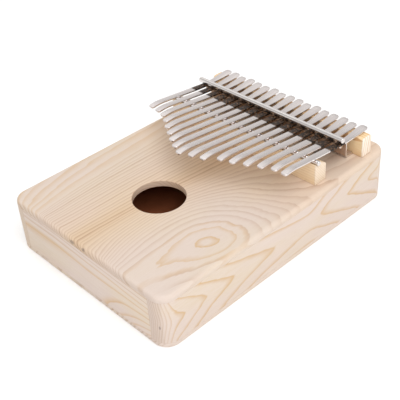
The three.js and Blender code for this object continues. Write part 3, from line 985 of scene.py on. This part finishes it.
def make_bracket():
    """One bent sheet, notched for the clamping screws."""
    low, high = node_box("bracket")
    sheet = extrude_across("bracket_sheet", bracket_profile(low.z, high.y, high.z), low.x, high.x)
    notches = []
    for number in range(1, CLAMP_SCREWS + 1):
        screw_low, screw_high = node_box(f"clamp_screw_{number}")
        x = (screw_low.x + screw_high.x) / 2
        near = (x - NOTCH_HALF_WIDTH, NOTCH_Y[0], NOTCH_Z[0])
        notches.append((near, (x + NOTCH_HALF_WIDTH, NOTCH_Y[1], NOTCH_Z[1])))
    cutter = bpy.data.objects.new("notches", boxes_mesh("notches", notches))
    bpy.context.scene.collection.objects.link(cutter)
    sheet = modified(sheet, "BOOLEAN", operation="DIFFERENCE", object=cutter, solver="EXACT")
    bpy.data.objects.remove(cutter)
    sheet = softened(sheet, SHEET_EDGE, segments=2, angle=50)
    add_piece("bracket_sheet", sheet, SHEET_STEEL, "sound_box", ["bracket"], sharp=45)


make_bracket()

# ---- Tines ----

TINES = 17
TINE_THICKNESS = 1.1
EDGE_ROUND = 0.24
EDGE_LARGEST_SHARE = 0.45
EDGE_ROUND_STEPS = 4
END_THICKNESS_SHARE = 0.45
END_THINNING_LENGTH = 0.5
BLADE_WIDTH = 4.3
NECK_WIDTH = 4.2
NECK_START = 50.5
NECK_FULL = 54.5
PADDLE_WIDTH = 5.6
PADDLE_START = 65
PADDLE_FULL = 76
BLADE_RISE = 0.118
TIP_CURL_LENGTH = 11
TIP_CURL_DROP = 1.48
TIP_CORNER_RADIUS = 1.7
PADDLE_CORNER_RADIUS = 2.4
HINGE_Y = FRONT_ROD_Y
HINGE_Z = 51.55
SHANK_POINTS = [(HINGE_Y, HINGE_Z), (46, 50.15), (58.5, 48.95), (66, 48.75), (74, 49), (84, 49.8)]
SHANK_LINE_STEPS = 80

# How many sections a tine has along its tip, its blade, its shank and its tail.
TIP_SECTIONS = 8
BLADE_SECTIONS = 26
SHANK_SECTIONS = 44
TAIL_SECTIONS = 9


def smoothstep(value, low, high):
    """0 below low, 1 above high and smooth between them."""
    share = min(1.0, max(0.0, (value - low) / (high - low)))
    return share * share * (3 - 2 * share)


def between(before, start, stop, after, share):
    """A number between start and stop on the smooth curve through all four."""
    pull = (stop - before) / 2
    bend = before - 2.5 * start + 2 * stop - after / 2
    twist = 1.5 * (start - stop) + (after - before) / 2
    return start + share * pull + share ** 2 * bend + share ** 3 * twist


def through(points, steps):
    """A smooth line through points, with steps points in each stretch."""
    line = []
    for i in range(len(points) - 1):
        before = points[max(0, i - 1)]
        start, stop = points[i], points[i + 1]
        after = points[min(len(points) - 1, i + 2)]
        for step in range(steps):
            line.append(tuple(between(*four, step / steps) for four in zip(before, start, stop, after)))
    line.append(points[-1])
    return line


SHANK_LINE = through(SHANK_POINTS, SHANK_LINE_STEPS)


def middle_of(y, length):
    """Height and slope of a tine's middle line at y."""
    if y <= HINGE_Y:
        distance = HINGE_Y - y
        curled = max(0.0, distance - (length - TIP_CURL_LENGTH)) / TIP_CURL_LENGTH
        z = HINGE_Z + BLADE_RISE * distance - TIP_CURL_DROP * curled ** 2
        return z, 2 * TIP_CURL_DROP * curled / TIP_CURL_LENGTH - BLADE_RISE
    place = next(i for i, point in enumerate(SHANK_LINE) if point[0] >= y)
    low, high = SHANK_LINE[place - 1], SHANK_LINE[place]
    slope = (high[1] - low[1]) / (high[0] - low[0])
    return low[1] + slope * (y - low[0]), slope


def corner_inset(distance, radius):
    """How far a round corner draws the side in, at a distance from the end."""
    if distance >= radius:
        return 0.0
    return radius - math.sqrt(max(0.0, radius ** 2 - (radius - distance) ** 2))


def half_width(y, tip, tail):
    """Half a tine's width at y, over its blade, neck and paddle-shaped tail."""
    neck = smoothstep(y, NECK_START, NECK_FULL)
    paddle = smoothstep(y, PADDLE_START, PADDLE_FULL)
    width = BLADE_WIDTH + (NECK_WIDTH - BLADE_WIDTH) * neck + (PADDLE_WIDTH - NECK_WIDTH) * paddle
    return width / 2 - corner_inset(y - tip, TIP_CORNER_RADIUS) - corner_inset(tail - y, PADDLE_CORNER_RADIUS)


def section(x, y, z, half, slope, thickness):
    """A strip's section: a flat rectangle with rounded edges, square to its middle line."""
    run = 1 / math.hypot(1, slope)
    edge = min(EDGE_ROUND, thickness * EDGE_LARGEST_SHARE)
    across = half - edge
    over = thickness / 2 - edge
    ring = []
    for side_x, side_z, start in ((1, 1, 0), (-1, 1, 90), (-1, -1, 180), (1, -1, 270)):
        for dx, dz in arc(edge, start, start + 90, EDGE_ROUND_STEPS):
            height = side_z * over + dz
            ring.append((x + side_x * across + dx, y - slope * run * height, z + run * height))
    return ring


def evenly(start, stop, count):
    """Evenly spaced places after start, the last of them at stop."""
    return [start + (stop - start) * step / count for step in range(1, count + 1)]


def end_steps(reach, count):
    """Distances from a round end, close together where the outline turns fastest."""
    return [reach * (1 - math.cos(math.pi / 2 * step / count)) for step in range(count + 1)]


def make_tine(number):
    """One strip of steel from tip to tail, whose middle line turns at the front rod."""
    blade_low, blade_high = node_box(f"tine_{number:02d}_blade")
    _, shank_high = node_box(f"tine_{number:02d}_shank")
    x = (blade_low.x + blade_high.x) / 2
    tail = shank_high.y
    tip = blade_low.y
    stations = [tip + step for step in end_steps(TIP_CORNER_RADIUS, TIP_SECTIONS)]
    stations += evenly(stations[-1], HINGE_Y, BLADE_SECTIONS)
    stations += evenly(HINGE_Y, tail - PADDLE_CORNER_RADIUS, SHANK_SECTIONS)
    stations += [tail - step for step in reversed(end_steps(PADDLE_CORNER_RADIUS, TAIL_SECTIONS)[:-1])]
    rings = []
    length = HINGE_Y - tip
    for y in stations:
        z, slope = middle_of(y, length)
        share = min(1.0, END_THICKNESS_SHARE + min(y - tip, tail - y) / END_THINNING_LENGTH)
        rings.append(section(x, y, z, half_width(y, tip, tail), slope, TINE_THICKNESS * share))
    name = f"tine_{number:02d}"
    piece = add_piece(
        name, loft(name, rings), SPRING_STEEL, None, [f"{name}_blade", f"{name}_shank"],
        sharp=50,
    )
    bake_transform(piece)


for tine_number in range(1, TINES + 1):
    make_tine(tine_number)

# ---- Carried-over CAD nodes ----

BRACKET_SCREWS = 3


def repaint(node, material):
    """Gives a CAD node that is shown as it is a material of this scene."""
    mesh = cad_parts[node].data
    mesh.materials.clear()
    mesh.materials.append(material)


repaint("inner_brace", BRACE_WOOD)
for screw_number in range(1, CLAMP_SCREWS + 1):
    repaint(f"clamp_screw_{screw_number}", ZINC)
for screw_number in range(1, BRACKET_SCREWS + 1):
    repaint(f"bracket_screw_{screw_number}", ZINC)

# ---- Floor and light ----

FLOOR_SIZE = 6000
FLOOR_GREY = (0.82, 0.82, 0.82)
FLOOR_PALE = (0.86, 0.86, 0.86)
FLOOR_ROUGHNESS = 0.9
FLOOR_GLOW = 0.14


def make_floor():
    half = FLOOR_SIZE / 2 * MM
    corners = [(-half, -half, 0), (half, -half, 0), (half, half, 0), (-half, half, 0)]
    mesh = mesh_of("floor", corners, [(0, 1, 2, 3)])
    f = Finish("studio_floor")
    speckle = f.noise(f.x * 0.02, f.y * 0.02, 0.0, detail=2.0)
    f.colour(f.mix(speckle, FLOOR_GREY, FLOOR_PALE))
    f.shader.inputs["Roughness"].default_value = FLOOR_ROUGHNESS
    f.shader.inputs["Emission Color"].default_value = (1.0, 1.0, 1.0, 1.0)
    f.shader.inputs["Emission Strength"].default_value = FLOOR_GLOW
    mesh.materials.append(f.material)
    floor = bpy.data.objects.new("floor", mesh)
    bpy.context.scene.collection.objects.link(floor)


# The tent's light at three heights, and the heights between which it changes. A height is 0 at the
# horizon and 1 overhead.
BACKDROP_LIGHT = 0.88
MIDDLE_LIGHT = 0.64
CEILING_LIGHT = 0.52
BACKDROP_TOP = (0.42, 0.32)
CEILING_START = (0.5, 0.64)
SOFTBOX_LIGHT = 0.58
SOFTBOX_DIRECTION = (-0.55, 0.25, 0.8)
SOFTBOX_EDGE = (0.88, 0.95)
TENT_COLOUR = (1.0, 0.995, 0.985, 1.0)


def make_world():
    """A pale studio tent, bright at the horizon and dimmer above, with a soft box behind on the left."""
    world = bpy.data.worlds.new("studio")
    world.use_nodes = True
    tree = world.node_tree
    place = tree.nodes.new("ShaderNodeTexCoord")
    split = tree.nodes.new("ShaderNodeSeparateXYZ")
    tree.links.new(place.outputs["Generated"], split.inputs[0])
    x, y, z = (Field(tree, split.outputs[axis]) for axis in range(3))
    level = MIDDLE_LIGHT + z.step(*BACKDROP_TOP) * (BACKDROP_LIGHT - MIDDLE_LIGHT)
    level = level + z.step(*CEILING_START) * (CEILING_LIGHT - MIDDLE_LIGHT)
    side, back, up = SOFTBOX_DIRECTION
    level = level + (x * side + y * back + z * up).step(*SOFTBOX_EDGE) * SOFTBOX_LIGHT
    backdrop = tree.nodes["Background"]
    backdrop.inputs["Color"].default_value = TENT_COLOUR
    tree.links.new(level.socket, backdrop.inputs["Strength"])
    bpy.context.scene.world = world


KEY_PLACE = Vector((1050, -480, 1900))
KEY_AIM = Vector((0, 0, 30))
KEY_SIZE = 1900
KEY_WATTS = 38


def make_key():
    """A large square lamp above, in front and to the right."""
    data = bpy.data.lights.new("key", "AREA")
    data.shape = "SQUARE"
    data.size = KEY_SIZE * MM
    data.energy = KEY_WATTS
    lamp = bpy.data.objects.new("key", data)
    lamp.location = KEY_PLACE * MM
    lamp.rotation_euler = (KEY_AIM - KEY_PLACE).to_track_quat("-Z", "Y").to_euler()
    bpy.context.scene.collection.objects.link(lamp)


make_floor()
make_world()
make_key()
bpy.context.scene.view_settings.view_transform = "Standard"
